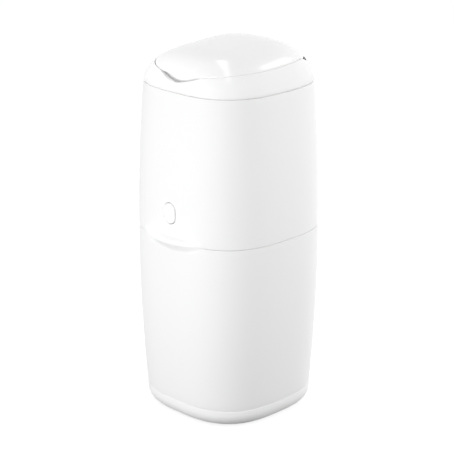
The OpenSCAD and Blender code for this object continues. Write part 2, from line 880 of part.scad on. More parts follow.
module at_housing_screws() {
    d = (cradle_hole + cup_r) / 2;
    for (a = [45 : 90 : 315])
        translate([d * cos(a), throat_y + d * sin(a), 0])
            children();
}

module housing_screws() {
    color("silver")
        at_housing_screws()
            translate([0, 0, housing_top - housing_plate])
                screw(housing_plate + cup_wall - 0.5);
}

module jaw_pins() {
    color("silver")
        for (s = [-1, 1])
            translate([0, throat_y + s * jaw_pin_y, jaw_z])
                rod_x(jaw_pin_r, -housing_half - 0.5, housing_half + 0.5);
}

module jaw_springs() {
    color("silver")
        for (s = [-1, 1])
            translate([-jaw_half + 2, throat_y + s * jaw_pin_y, jaw_z])
                rotate([0, 90, 0])
                    coil(jaw_pin_r + move_gap + spring_wire, spring_wire, 5, spring_span - 4);
}

// One jaw: a plate on a pierced barrel, cut away at one end for its spring
module jaw(s) {
    reach = jaw_pin_y - jaw_lip - move_gap / 2;
    barrel = jaw_pin_r + barrel_wall;
    color("gainsboro")
        translate([0, throat_y + s * jaw_pin_y, jaw_z])
            difference() {
                union() {
                    rod_x(barrel, -jaw_half, jaw_half);
                    translate([-jaw_half, s > 0 ? -reach : 0, -jaw_t / 2])
                        cube([2 * jaw_half, reach, jaw_t]);
                }
                rod_x(jaw_pin_r + running_fit, -jaw_half - sink, jaw_half + sink);
                translate([-jaw_half - sink, -barrel - sink, -barrel - sink])
                    cube([spring_span + sink, 2 * barrel + 2 * sink, 2 * barrel + 2 * sink]);
            }
}

module jaw_lip_strip(s) {
    color("dimgray")
        translate([-jaw_half, throat_y + (s > 0 ? move_gap / 2 : -jaw_lip - move_gap / 2), jaw_z - 4])
            cube([2 * jaw_half, jaw_lip, 4 + jaw_t / 2]);
}

module front_jaw() {
    jaw(-1);
}

module rear_jaw() {
    jaw(1);
}

module front_jaw_lip() {
    jaw_lip_strip(-1);
}

module rear_jaw_lip() {
    jaw_lip_strip(1);
}

// The film cutter hangs on the front of the housing, with its blade deep in a guarded slot
module film_cutter() {
    color("gainsboro")
        translate([0, throat_y - housing_half, housing_low])
            difference() {
                translate([-cutter_w / 2, -cutter_deep, 0])
                    cube([cutter_w, cutter_deep, cutter_h]);
                translate([-cutter_w / 2 + 4, -cutter_deep / 2 - 1.5, -sink])
                    cube([cutter_w - 8, 3, cutter_slot_h + sink]);
                translate([-blade_w / 2 - 0.2, -cutter_deep / 2 - 0.4, cutter_slot_h - sink])
                    cube([blade_w + 0.4, blade_t + 0.2, blade_h / 2 + sink]);
                for (s = [-1, 1])
                    translate([s * cutter_screw_x, 0, cutter_h - 5])
                        rod_y(pilot_r, -cutter_deep - sink, sink);
            }
}

module cutter_blade() {
    color("silver")
        translate([-blade_w / 2, throat_y - housing_half - cutter_deep / 2 - blade_t / 2, housing_low + 4])
            cube([blade_w, blade_t, blade_h]);
}

module at_cutter_screws() {
    for (s = [-1, 1])
        translate([s * cutter_screw_x, throat_y - housing_half, housing_low + cutter_h - 5])
            children();
}

module cutter_screws() {
    color("silver")
        at_cutter_screws()
            translate([0, -cutter_deep, 0])
                rotate([-90, 0, 0])
                    screw(cutter_deep + 2);
}

// The button's housing: a plate on four bosses, a sleeve round the button and two lugs for the latch
module button_housing() {
    w = button_w + 2 * button_gap;
    h = button_h + 2 * button_gap;
    plate_x = button_w / 2 + plate_side;
    top = latch_z + lug_up;
    low = button_z - button_h / 2 - 2 * plate_screw_up;
    color("gainsboro")
        difference() {
            union() {
                translate([-plate_x, plate_y, low])
                    cube([2 * plate_x, plate_t, top - low]);
                translate([0, 0, button_z])
                    oval(w + 3, h + 3, -front_face + shell_wall + 0.8, plate_y + sink);
                for (s = [-1, 1])
                    translate([s > 0 ? latch_w / 2 + move_gap : -latch_w / 2 - move_gap - 3,
                        plate_y + plate_t - sink, latch_z - lug_up])
                        cube([3, latch_y + 5 - plate_y - plate_t + sink, 2 * lug_up]);
            }
            translate([0, 0, button_z])
                oval(w, h, -front_face, plate_y);
            translate([0, 0, button_z])
                rod_y(stem_r + running_fit, plate_y - sink, plate_y + plate_t + sink);
            translate([0, latch_y, latch_z])
                rod_x(latch_pin_r + running_fit, -plate_x, plate_x);
            at_plate_screws()
                rod_y(pilot_r, plate_y - sink, plate_y + plate_t + sink);
        }
}

module button_housing_screws() {
    color("silver")
        at_plate_screws()
            translate([0, plate_y + plate_t, 0])
                rotate([90, 0, 0])
                    screw(plate_t + 4);
}

module latch_pin() {
    color("silver")
        translate([0, latch_y, latch_z])
            rod_x(latch_pin_r, -latch_w / 2 - move_gap - 3.5, latch_w / 2 + move_gap + 3.5);
}

module button_spring() {
    from = -front_face - button_proud + button_t;
    color("silver")
        translate([0, from, button_z])
            rotate([-90, 0, 0])
                coil(stem_r + 1.6, 0.5, 3, plate_y - from);
}

module release_button() {
    back = -front_face - button_proud + button_t;
    color("white")
        translate([0, 0, button_z]) {
            oval(button_w, button_h, -front_face - button_proud, back);
            rod_y(stem_r, back - sink, stem_tip - 2);
            rod_y(stem_nose_r, stem_tip - 2 - sink, stem_tip);
            rod_y(stem_r + 1, plate_y + plate_t + move_gap, plate_y + plate_t + move_gap + 1.2);
        }
}

// The hook hangs from its pin behind the button and catches under the keeper's lip.
// Its arm is flush with the front of its barrel.
module latch_hook() {
    nose_end = -(frame_half - frame_wall) + 2.2;
    color("gainsboro")
        difference() {
            union() {
                translate([0, latch_y, latch_z])
                    rod_x(latch_barrel_r, -latch_w / 2, latch_w / 2);
                translate([-latch_w / 2, latch_y - latch_barrel_r, hook_low])
                    cube([latch_w, latch_t, latch_z - hook_low]);
                translate([-latch_w / 2, nose_end, hook_low])
                    cube([latch_w, latch_y - nose_end, nose_t]);
            }
            translate([0, latch_y, latch_z])
                rod_x(latch_pin_r + running_fit, -latch_w / 2 - sink, latch_w / 2 + sink);
        }
}

// ---------- lid ----------

module lid_cover() {
    outer = [1, 0.96, 0.88, 0.76, 0.6, 0.42, 0.22, 0.06];
    color("white")
        difference() {
            union() {
                skin(concat(
                    [for (k = [len(outer) - 1 : -1 : 1]) lid_ring(outer[k], lid_wall)],
                    [lid_ring(1, lid_wall)],
                    [skirt_ring(lid_wall)],
                    [skirt_ring(0)],
                    [skirt_top_ring()],
                    [for (s = outer) lid_ring(s, 0)]));
                at_lid_screws()
                    cylinder(r = boss_r, h = lid_boss_h);
            }
            at_lid_screws()
                translate([0, 0, -sink])
                    cylinder(r = pilot_r, h = lid_boss_h - 1);
        }
}

// The screw bosses grow on the inner side of the lid's skirt
module at_lid_screws() {
    y = lid_boss_y;
    for (sx = [-1, 1], sy = [-1, 1])
        translate([sx * (lid_x(sy * y, -lid_wall) - boss_r + lid_wall / 2), sy * y, skirt_z + liner_t])
            children();
}

module lid_screws() {
    color("silver")
        at_lid_screws()
            translate([0, 0, -liner_t])
                screw(liner_t + lid_screw_in);
}

// The liner closes the lid's underside; it carries the seal's ring and the two pivot lugs
module lid_liner() {
    ring_low = deck_z + move_gap + lid_seal_t;
    rear = lid_pivot_y - lid_rear_cut;
    slot_y = lid_pivot_y - post_foot + 2;
    color("whitesmoke")
        difference() {
            union() {
                difference() {
                    lid_plate(skirt_z, liner_t, lid_wall + seat_gap);
                    translate([-belly_half, rear, skirt_z - sink])
                        cube([2 * belly_half, belly_half, liner_t + 2 * sink]);
                    for (s = [-1, 1])
                        translate([s > 0 ? post_x - 1.5 : -belly_half, slot_y, skirt_z - sink])
                            cube([belly_half - post_x + 1.5, belly_half, liner_t + 2 * sink]);
                }
                translate([0, throat_y, ring_low])
                    tube(liner_ring_r, liner_ring_r - liner_ring_wall, skirt_z - ring_low + sink);
                for (s = [-1, 1])
                    lid_lug(s);
            }
            at_lid_screws()
                translate([0, 0, -liner_t - sink])
                    cylinder(r = pilot_r, h = liner_t + 2 * sink);
            translate([0, lid_pivot_y, pivot_z])
                rod_x(lid_pin_r + running_fit, -post_x, post_x);
        }
}

module lid_lug(side) {
    inner = post_x - move_gap - lug_t;
    up = pivot_z - skirt_z;
    translate([side > 0 ? inner : -inner - lug_t, lid_pivot_y, skirt_z])
        rotate([90, 0, 90])
            linear_extrude(lug_t)
                union() {
                    polygon([
                        [-lug_foot, 0],
                        [lug_foot_l - lug_foot, 0],
                        [3, up - 4],
                        [-2, up + 4],
                        [-lug_foot, liner_t + 1]]);
                    translate([0, up])
                        circle(r = lid_lug_r);
                }
}

module lid_seal() {
    color("gray")
        translate([0, throat_y, deck_z + move_gap])
            tube(liner_ring_r + 0.6, liner_ring_r - liner_ring_wall - 0.6, lid_seal_t);
}

lower_shell();
base_pan();
rubber_feet();
base_screws();
rim_frame();
rim_seal();
latch_keeper();
hinge_lower_leaf();
hinge_lower_screws();
hinge_pin();
upper_shell();
collar();
collar_screws();
cassette_cradle();
cassette_tub();
film_pack();
cassette_cover();
jaw_housing();
housing_screws();
jaw_pins();
jaw_springs();
film_cutter();
cutter_blade();
cutter_screws();
hinge_upper_leaf();
hinge_upper_screws();
button_housing();
button_housing_screws();
latch_pin();
button_spring();
lid_pivot_pins();
release_button();
latch_hook();
lid_cover();
lid_liner();
lid_seal();
lid_screws();
front_jaw();
front_jaw_lip();
rear_jaw();
rear_jaw_lip();
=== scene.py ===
"""Looks of a nappy bin.

Smooth moulded shells, a domed lid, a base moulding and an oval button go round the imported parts.
"""

import math

import bmesh
import bpy
import numpy as np
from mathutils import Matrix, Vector


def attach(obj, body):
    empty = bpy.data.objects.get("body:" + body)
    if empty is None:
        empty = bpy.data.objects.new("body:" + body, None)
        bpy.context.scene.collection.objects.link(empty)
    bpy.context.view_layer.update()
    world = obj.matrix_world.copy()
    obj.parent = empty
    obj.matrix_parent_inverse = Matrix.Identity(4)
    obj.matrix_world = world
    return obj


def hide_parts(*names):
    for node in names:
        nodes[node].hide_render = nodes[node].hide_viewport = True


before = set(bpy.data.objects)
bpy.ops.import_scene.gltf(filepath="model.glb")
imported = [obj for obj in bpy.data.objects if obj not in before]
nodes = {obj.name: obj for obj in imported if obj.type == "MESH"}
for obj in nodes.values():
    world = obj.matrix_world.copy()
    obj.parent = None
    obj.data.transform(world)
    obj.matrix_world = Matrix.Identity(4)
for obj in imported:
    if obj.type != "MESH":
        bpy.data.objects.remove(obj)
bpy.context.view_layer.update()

# ---------- sizes of the bin, in millimetres ----------

MM = 0.001
TINY = 1e-6  # a length that counts as nothing
FAR_UP = 1000.0  # a height above the whole bin, which stands for no notch

# the body's outline and its seams
BELLY_HALF = 125.2  # half width where the body is widest
BELLY_Z = 280.4
BOW_RADIUS = 3302.0  # the long bow of the sides
PLAN_POWER = 2.834  # squareness of the plan, where 2 is an ellipse
WALL = 2.6
BASE_SEAM, MID_SEAM, COLLAR_SEAM = 30.0, 295.0, 522.0
SEAM_GAP = 0.2  # half of the gap that a seam between two shells leaves
SEAM_ROUND = 0.8  # edge radius along a seam
LOWER_RIM_ROUND, BASE_RIM_ROUND = 0.6, 0.5  # edge radii inside the wall, at each moulding's rim
UPPER_RIM_ROUND, UPPER_TOP_ROUND = 0.5, 0.3

# the grip lip and the finger scoop under it
LIP_REACH, LIP_ROUND, LIP_RISE = 138.3, 109.0, 7.6  # its front, its round in plan, and its height
LIP_FULL = 2.3  # fullness of the lip's section, where 1 is a flat slope and 2 a round
LIP_SOFT = 0.06  # how softly the lip runs into the wall
LIP_FADE = 1.6  # length over which the lip's ends fade in
LIP_BAND = 14.0  # the wall has finer steps up to this height above its rim
OUTER_SKIN = 1.2  # a point this near to the outline is on the wall's outer face
SCOOP_HALF, SCOOP_DROP, SCOOP_DEEP = 62.0, 16.5, 6.5  # half width, height and depth
SCOOP_FROM = 270.0  # the wall has finer steps above this height

# the bucket, the base moulding and the deck
BUCKET_FLOOR, FLOOR_T, BUCKET_CORNER = 43.0, 3.0, 6.0
FOOT_STAND, BASE_FOOT_HALF, BASE_BAND, BASE_WALL, BASE_CORNER = 1.5, 95.0, 7.0, 3.0, 8.0
DECK_Z, DECK_T, LEDGE_IN = 513.0, 3.0, 3.4
LEDGE_T, LEDGE_SLOPE_END = 2.0, 6.0  # the ledge under the deck, down from its top

# the dome, the lid and the lid's skirt
DOME_CROWN, DOME_LEAN, DOME_SADDLE = 54.0, 0.07, 0.00076
DOME_SHOULDER, DOME_FALL = 3.108, 1.709  # powers of the dome's curve from its crown to the seam
LID_HALF_X, LID_HALF_Y, LID_POWER, LID_BACK = 96.6, 107.3, 2.66, 1.8
LID_GAP, LID_WALL, LID_EDGE = 0.8, 2.4, 1.4
SKIRT_Z, SKIRT_DROP, SKIRT_DROP_RUN = 541.5, 8.0, 20.0  # its lower edge, which drops in front
SKIRT_TURN, SKIRT_BACK_H = 34.0, 5.0  # where it starts to rise, and its height from the pivot back
SKIRT_TOP_GAP = 0.3
TUCK_DEEP, TUCK_HALF, TUCK_RUN = 5.5, 45.0, 12.1  # how the skirt stands back under the lid's edge

# the collar, with the relief beside the lid's pivot and the finger notch
EDGE = 1.0  # how far the collar's opening is rolled over
TONGUE = WALL + 0.2  # how far inside the body the collar's tongue is
TONGUE_T, TONGUE_LAP = 2.0, 0.5  # its thickness, and how far above the seam it joins the skin
SKIN_START = 0.02  # the skin starts this far along, above the rolled lower edge
PIVOT_Y, PIVOT_RELIEF = 74.0, 5.6  # the most that the opening widens, which the turning lid needs
RELIEF_BEHIND = 5.0  # where it is widest, behind the pivot
RELIEF_FRONT, RELIEF_BACK = 10.0, 24.0  # how far it runs from there
NOTCH_REACH, NOTCH_ROUND = 112.4, 95.0  # the notch's front, and its round in plan
NOTCH_EDGE = 0.9  # how far the notch's edge is rolled over
NOTCH_DISH = 21.0  # radius of the hollow in the notch's floor
LEDGE_DROP = 0.4  # the small step down inside the opening, where there is no notch
NOTCH_INSIDE, EDGE_INSIDE = 0.3, 0.5  # how far below the notch's floor and the rolled edge the pocket is
POCKET_DEEP = 0.3  # depth of the wider gap beside the pivot

# the release button, its hole and its stem
BUTTON_W, BUTTON_H, BUTTON_Z, BUTTON_GAP = 23.5, 32.0, 337.0, 0.8
BUTTON_PROUD, BUTTON_T = 1.4, 4.4
PILLOW = (  # the round of the button's face: share of its half width from the rim, and depth
    (0.8, 0.02),
    (0.5, 0.05),
    (0.3, 0.12),
    (0.16, 0.25),
    (0.08, 0.42),
    (0.035, 0.62),
    (0.01, 0.9),
    (0.0, 1.3),
)
MOUTH_ROUND, MOUTH_STAND = 0.7, 0.12  # edge radius of the button's hole, and where the round starts
MOUTH_FLARE, MOUTH_OUT, MOUTH_IN = 2.2, 2.0, 2.0  # the hole's tool, wider outside and long enough inside
SPRING_RIM, SPRING_ROOM = 4.0, 2.7  # rim and depth of the hollow behind the cap for the spring's end
STEM_W, STEM_RUN, STEM_LAP = 8.0, 14.1, 0.1  # the stem, and how far it goes into the cap
STEM_NOSE, STEM_NOSE_IN = 2.0, 1.8  # its narrower end
PLATE_AWAY, STOP_OUT, STOP_T = 8.4, 1.0, 1.2  # the stop ring behind the housing's plate

# the screw bosses inside the two shells
BOSS_R = 3.6
BOSS_Y = (117.3, 123.9)  # from inside the body to within the back wall
HINGE_SCREW_X, HINGE_SCREW_UP = 20.0, (15.0, 31.0)
PLATE_SCREW_X, PLATE_SCREW_UP, PLATE_Y = BUTTON_W / 2 + 8, BUTTON_H / 2 + 4, 8.6

# steps round the shells and the small parts
TURNS, OVAL_STEPS, BOSS_STEPS, FLOOR_STEPS = 256, 64, 28, 96
SMOOTH_DEGREES = 35
SIDES = (-1, 1)


# ---------- outlines ----------


def side_half(z):
    """Half of the body's width at one height."""
    return BELLY_HALF - (z - BELLY_Z) ** 2 / (2 * BOW_RADIUS)


def outline(turn, half_x, half_y, power):
    """The point of a rounded square in one direction from its middle."""
    if half_x < TINY:
        return 0.0, 0.0
    c, s = math.cos(turn), math.sin(turn)
    reach = (abs(c / half_x) ** power + abs(s / half_y) ** power) ** (-1 / power)
    return reach * c, reach * s


def body_point(turn, half):
    """The body's outline in one direction, where its half width is given."""
    return outline(turn, half, half, PLAN_POWER)


COLLAR_HALF = side_half(COLLAR_SEAM)


def dome_z(x, y, wall=0.0):
    """Height of the dome that the collar and the lid share."""
    reach = (abs(x) ** PLAN_POWER + abs(y) ** PLAN_POWER) ** (1 / PLAN_POWER)
    share = 1 - min(1.0, reach / (COLLAR_HALF - wall)) ** DOME_SHOULDER
    rise = DOME_CROWN - wall + DOME_LEAN * y + DOME_SADDLE * y * y
    return COLLAR_SEAM + max(0.0, share) ** (1 / DOME_FALL) * rise


def lid_point(turn, grow=0.0):
    """The lid's outline, or one that is larger by grow."""
    x, y = outline(turn, LID_HALF_X + grow, LID_HALF_Y + grow, LID_POWER)
    return x, y + LID_BACK


def relief(y):
    """How much wider the collar's opening is on each side, beside and behind the lid's pivot."""
    off = y - PIVOT_Y - RELIEF_BEHIND
    away = -off / RELIEF_FRONT if off < 0 else off / RELIEF_BACK
    return PIVOT_RELIEF * max(0.0, 1 - away)


def tuck(x, y):
    """Behind the finger notch the skirt and the collar's opening stand back under the lid's edge."""
    back = TUCK_DEEP * ease((TUCK_HALF - abs(x)) / TUCK_RUN) if y < 0 else 0.0
    return x, y + back


def opening_point(turn, grow=0.0, relieved=True):
    """The collar's opening: the lid's outline and a gap, wider just behind the pivot."""
    x, y = lid_point(turn, LID_GAP + grow)
    wider = math.copysign(relief(y), x) if relieved else 0.0
    return tuck(x + wider, y)


def notch_floor(x):
    """Height of the finger notch's floor, which is the same from front to back."""
    if abs(x) >= NOTCH_ROUND:
        return FAR_UP
    return dome_z(x, -(NOTCH_REACH - NOTCH_ROUND + math.sqrt(NOTCH_ROUND**2 - x * x)))


def mix(a, b, s):
    """From a to b by a share."""
    return a + (b - a) * s


def rolled(before, corner, after, t):
    """A point of the round that goes over a corner, from t = 0 to t = 1."""
    return before * (1 - t) ** 2 + corner * 2 * t * (1 - t) + after * t * t


def ease(s):
    """A smooth rise from 0 to 1."""
    s = min(1.0, max(0.0, s))
    return s * s * (3 - 2 * s)


# ---------- modelling steps ----------


def clear():
    """Back to object mode with nothing selected."""
    if bpy.context.object and bpy.context.object.mode != "OBJECT":
        bpy.ops.object.mode_set(mode="OBJECT")
    bpy.ops.object.select_all(action="DESELECT")


def named(name):
    """Leave edit mode and name the piece that was being modelled."""
    bpy.ops.object.mode_set(mode="OBJECT")
    piece = bpy.context.object
    piece.name = piece.data.name = name
    return piece


def pick(test, kind="verts"):
    """In edit mode, select the vertices, edges or faces whose middle passes a test."""
    mesh = bpy.context.object.data
    work = bmesh.from_edit_mesh(mesh)
    bpy.ops.mesh.select_all(action="DESELECT")
    bpy.ops.mesh.select_mode(type={"verts": "VERT", "edges": "EDGE", "faces": "FACE"}[kind])
    for item in getattr(work, kind):
        if kind == "verts":
            middle = item.co
        else:
            middle = sum((v.co for v in item.verts), Vector()) / len(item.verts)
        if test(middle):
            item.select = True
    work.select_flush_mode()
    bmesh.update_edit_mesh(mesh)


HALF_SIDE = 0.49  # most of a side that one corner's round may take


def rounded(points, arc_steps=4):
    """A wall section's corners, where a third number is an edge radius, as a run of points."""
    run = []
    for i, p in enumerate(points):
        if len(p) == 2:
            run.append((p[0], p[1]))
            continue
        here = Vector(p[:2])
        before = Vector(points[i - 1][:2]) - here
        after = Vector(points[(i + 1) % len(points)][:2]) - here
        reach = min(p[2], before.length * HALF_SIDE, after.length * HALF_SIDE)
        a, b = here + before.normalized() * reach, here + after.normalized() * reach
        for k in range(arc_steps + 1):
            t = k / arc_steps
            q = rolled(a, here, b, t)
            run.append((q.x, q.y))
    return run


def lathe(name, section, joined, turns=TURNS):
    """Draw a wall's section as a run of extruded points and spin it round the upright axis."""
    clear()
    bpy.ops.mesh.primitive_plane_add(size=MM, enter_editmode=True)
    bpy.ops.mesh.merge(type="CENTER")
    at = Vector((section[0][0], 0, section[0][1])) * MM
    bpy.ops.transform.translate(value=at)
    for r, z in section[1:]:
        to = Vector((r, 0, z)) * MM
        bpy.ops.mesh.extrude_vertices_move(TRANSFORM_OT_translate={"value": to - at})
        at = to
    if joined:
        first = Vector((section[0][0], 0, section[0][1])) * MM
        pick(lambda v: min((v - first).length, (v - at).length) < TINY)
        bpy.ops.mesh.edge_face_add()
    bpy.ops.mesh.select_all(action="SELECT")
    bpy.ops.mesh.spin(steps=turns, angle=2 * math.pi, center=(0, 0, 0), axis=(0, 0, 1))
    bpy.ops.mesh.select_all(action="SELECT")
    bpy.ops.mesh.remove_doubles(threshold=TINY)
    bpy.ops.mesh.normals_make_consistent(inside=False)
    return named(name)


def press(piece, section, rule):
    """Move every point of a spun blank to where the real wall goes.

    The rule gives that place, in millimetres, from the point's number in the section and its turn.
    """
    count = len(piece.data.vertices)
    co = np.empty(count * 3)
    piece.data.vertices.foreach_get("co", co)
    co = co.reshape(-1, 3) / MM
    reach = np.hypot(co[:, 0], co[:, 1])
    run = np.array(section)
    across = reach[:, None] - run[None, :, 0]
    upward = co[:, 2][:, None] - run[None, :, 1]
    place = (across**2 + upward**2).argmin(1)
    turn = np.arctan2(co[:, 1], co[:, 0])
    out = np.array([rule(int(k), float(t)) for k, t in zip(place, turn)]) * MM
    piece.data.vertices.foreach_set("co", out.ravel())
    piece.data.update()


def smooth(piece):
    """Shade a piece smooth, with its sharper edges left crisp."""
    clear()
    piece.select_set(True)
    bpy.context.view_layer.objects.active = piece
    bpy.ops.object.shade_smooth_by_angle(angle=math.radians(SMOOTH_DEGREES))


def cut(piece, tool):
    """Cut one closed piece with another and throw the tool away."""
    clear()
    bpy.context.view_layer.objects.active = piece
    piece.select_set(True)
    step = piece.modifiers.new("cut", "BOOLEAN")
    step.operation, step.object, step.solver = "DIFFERENCE", tool, "EXACT"
    bpy.ops.object.modifier_apply(modifier=step.name)
    bpy.data.objects.remove(tool)


def finish_piece(piece, body, slot, material, *stands_for):
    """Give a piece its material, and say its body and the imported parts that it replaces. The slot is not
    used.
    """
    piece.data.materials.clear()
    piece.data.materials.append(material)
    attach(piece, body)
    if stands_for:
        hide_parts(*stands_for)
    return piece


# ---------- camera ----------

PICTURE = 454  # pixels
FOCAL_PX = 1800.93
SHIFT_PX = -1.641
SENSOR = 36.0
AIM_Z, DISTANCE = 0.2857, 2.7956  # metres
FAR_CLIP = 30.0
AZIMUTH, ELEVATION = math.radians(45.05), math.radians(18.73)
back_way = Vector(
    (
        math.sin(AZIMUTH) * math.cos(ELEVATION),
        -math.cos(AZIMUTH) * math.cos(ELEVATION),
        math.sin(ELEVATION),
    )
)
camera = bpy.data.objects.new("camera", bpy.data.cameras.new("camera"))
bpy.context.scene.collection.objects.link(camera)
camera.data.sensor_width = SENSOR
camera.data.lens = FOCAL_PX * SENSOR / PICTURE
camera.data.shift_x = SHIFT_PX / PICTURE
camera.data.clip_end = FAR_CLIP
camera.location = Vector((0, 0, AIM_Z)) + back_way * DISTANCE
camera.rotation_euler = (-back_way).to_track_quat("-Z", "Y").to_euler()
bpy.context.scene.camera = camera

# ---------- materials ----------

GRAIN_DETAIL, GRAIN_ROUGH, GRAIN_SPREAD = 3.0, 0.55, 0.1  # the tool's grain, and its share in roughness
FLOW_SCALE, FLOW_DETAIL = 9.0, 2.0  # slow change of colour over about a tenth of a metre
LINES_DETAIL, LINES_SPREAD = 2.0, 0.25  # the drawn or ground lines of a steel


def hex_colour(code):
    """An sRGB hex colour as the linear numbers that a shader takes."""
    parts = [int(code[i : i + 2], 16) / 255 for i in (1, 3, 5)]
    return tuple(p / 12.92 if p <= 0.04045 else ((p + 0.055) / 1.055) ** 2.4 for p in parts) + (1.0,)


def add(tree, kind, inputs=(), **settings):
    """Add a node with its settings, values and links."""
    node = tree.nodes.new(kind)
    for key, value in settings.items():
        setattr(node, key, value)
    for key, value in dict(inputs).items():
        if isinstance(value, bpy.types.NodeSocket):
            tree.links.new(value, node.inputs[key])
        else:
            node.inputs[key].default_value = value
    return node


def moulded(name, colour, roughness, grain_mm, grain_deep_mm, tint=0.0, ior=1.53):
    """A moulded plastic: an even colour, with the tool's surface left in it as a fine grain."""
    material = bpy.data.materials.new(name)
    material.use_nodes = True
    tree = material.node_tree
    shader = tree.nodes["Principled BSDF"]
    place = add(tree, "ShaderNodeTexCoord")
    grain = add(
        tree,
        "ShaderNodeTexNoise",
        {
            "Vector": place.outputs["Object"],
            "Scale": 1 / (grain_mm * MM),
            "Detail": GRAIN_DETAIL,
            "Roughness": GRAIN_ROUGH,
        },
    )
    flow = add(
        tree,
        "ShaderNodeTexNoise",
        {"Vector": place.outputs["Object"], "Scale": FLOW_SCALE, "Detail": FLOW_DETAIL},
    )
    shade = add(tree, "ShaderNodeMix", data_type="RGBA")
    shade.inputs[6].default_value = hex_colour(colour)
    shade.inputs[7].default_value = tuple(c * (1 - tint) for c in hex_colour(colour)[:3]) + (1.0,)
    tree.links.new(flow.outputs["Fac"], shade.inputs[0])
    tree.links.new(shade.outputs[2], shader.inputs["Base Color"])
    rough = add(
        tree,
        "ShaderNodeMapRange",
        {
            "Value": grain.outputs["Fac"],
            "To Min": roughness * (1 - GRAIN_SPREAD),
            "To Max": roughness * (1 + GRAIN_SPREAD),
        },
    )
    tree.links.new(rough.outputs["Result"], shader.inputs["Roughness"])
    bump = add(
        tree,
        "ShaderNodeBump",
        {"Height": grain.outputs["Fac"], "Strength": 1.0, "Distance": grain_deep_mm * MM},
    )
    tree.links.new(bump.outputs["Normal"], shader.inputs["Normal"])
    shader.inputs["IOR"].default_value = ior
    return material


def steel(name, colour, roughness, brush_mm, deep_mm, stretch=(1.0, 1.0, 1.0)):
    """A steel whose drawing or grinding lines stretch its reflections."""
    material = bpy.data.materials.new(name)
    material.use_nodes = True
    tree = material.node_tree
    shader = tree.nodes["Principled BSDF"]
    shader.inputs["Base Color"].default_value = hex_colour(colour)
    shader.inputs["Metallic"].default_value = 1.0
    place = add(tree, "ShaderNodeTexCoord")
    turn = add(tree, "ShaderNodeMapping", {"Vector": place.outputs["Object"], "Scale": stretch})
    lines = add(
        tree,
        "ShaderNodeTexNoise",
        {"Vector": turn.outputs["Vector"], "Scale": 1 / (brush_mm * MM), "Detail": LINES_DETAIL},
    )
    rough = add(
        tree,
        "ShaderNodeMapRange",
        {
            "Value": lines.outputs["Fac"],
            "To Min": roughness * (1 - LINES_SPREAD),
            "To Max": roughness * (1 + LINES_SPREAD),
        },
    )
    tree.links.new(rough.outputs["Result"], shader.inputs["Roughness"])
    bump = add(tree, "ShaderNodeBump", {"Height": lines.outputs["Fac"], "Distance": deep_mm * MM})
    tree.links.new(bump.outputs["Normal"], shader.inputs["Normal"])
    return material


# ABS moulded in a spark-eroded tool: the fine grain spreads each reflection into a soft sheen.
# Its grain is about 0.15 mm and is drawn at 0.6 mm, so that it holds at this picture's size.
shell_abs = moulded("white_abs_spark_eroded", "#f3f3f3", 0.42, 0.6, 0.006, tint=0.008)
# ABS moulded in a polished tool: clear highlights, with a very faint orange peel a few mm across.
gloss_abs = moulded("white_abs_polished", "#f5f5f5", 0.16, 5.0, 0.01, tint=0.006)
# Polypropylene inside the bin: paler reflections and a slightly waxy, grey look.
inner_pp = moulded("grey_polypropylene_moulded", "#dfe1e2", 0.45, 0.8, 0.01, tint=0.03, ior=1.49)
cassette_pp = moulded("cassette_polypropylene_moulded", "#c6ccd2", 0.4, 0.8, 0.01, tint=0.03, ior=1.49)
# Barrier film blown thin and gathered: smooth and a little shiny, with fine creases.
film = moulded("barrier_film_blown", "#bccbd9", 0.22, 2.2, 0.25, tint=0.12, ior=1.5)
# Rubber feet pressed in a plain mould: dark, dry and dull.
foot_rubber = moulded("rubber_pressed", "#3a3a3a", 0.78, 0.5, 0.02, tint=0.15, ior=1.52)
# Soft seal strip, extruded: grey, with a low sheen.
seal_rubber = moulded("seal_rubber_extruded", "#8b8e90", 0.62, 0.6, 0.012, tint=0.08, ior=1.5)
# Zinc-plated screws: a bright cool grey with a fine plated grain.
screw_zinc = steel("steel_zinc_plated", "#c3c6c8", 0.34, 0.5, 0.01)
# Ground pins: fine lines round the pin.
pin_ground = steel("steel_ground_pin", "#b9bbbd", 0.22, 0.3, 0.004, stretch=(6.0, 1.0, 1.0))
# Drawn spring wire and strip: a little darker, with lines along the wire.
spring_drawn = steel("spring_steel_drawn", "#9c9ea1", 0.3, 0.3, 0.004)
# A honed blade: bright, with cross-ground lines.
blade_honed = steel("blade_steel_honed", "#cfd2d4", 0.18, 0.25, 0.003, stretch=(1.0, 1.0, 5.0))

# ---------- lower shell ----------

RIM_CLEAR = 1.0  # no step of a wall's section is nearer to its rim
WALL_STEP, SCOOP_STEP, INSIDE_STEP = 12.0, 1.6, 4.0  # heights between the steps of a section
LIP_STEP, UPPER_STEP, UPPER_INSIDE_STEP = 0.7, 7.0, 14.0


def scoop_pull(x, y, z):
    """How far the finger scoop pulls the front of the lower shell inward."""
    if y > 0:
        return 0.0
    share = 1 - (x / SCOOP_HALF) ** 2 - ((MID_SEAM - z) / SCOOP_DROP) ** 2
    return SCOOP_DEEP * ease(share)


def levels(low, high, step):
    """Even heights between two others, without them, about one step apart."""
    count = max(1, round((high - low) / step))
    return [low + (high - low) * i / count for i in range(1, count)]


